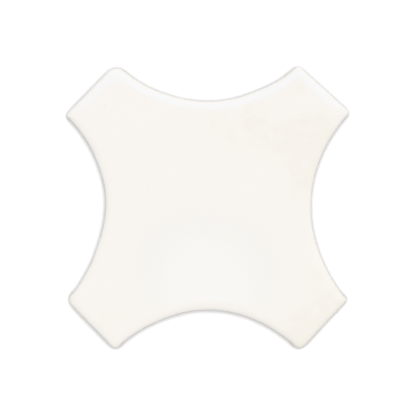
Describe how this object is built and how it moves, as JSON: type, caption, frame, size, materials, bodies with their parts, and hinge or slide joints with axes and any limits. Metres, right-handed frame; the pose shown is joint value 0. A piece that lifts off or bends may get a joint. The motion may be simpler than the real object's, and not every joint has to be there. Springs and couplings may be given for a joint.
{
  "type": "glazed clay tile",
  "caption": "Flat glazed clay tile cut as a cross, with concave sides and square-cut diagonal tips, a softly rolled white glazed face and a bare flat back.",
  "frame": {"origin": "middle of the tile's bounding box on its flat back", "axes": "+Z out of the glazed face, +Y towards the tile's top edge as it is looked at, +X to its right"},
  "size_m": [0.153, 0.1528, 0.01],
  "materials": {
    "glaze": "satin-gloss warm white glaze over bare buff clay"
  },
  "bodies": {
    "root": {"clay_tile": "glaze"}
  },
  "joints": []
}
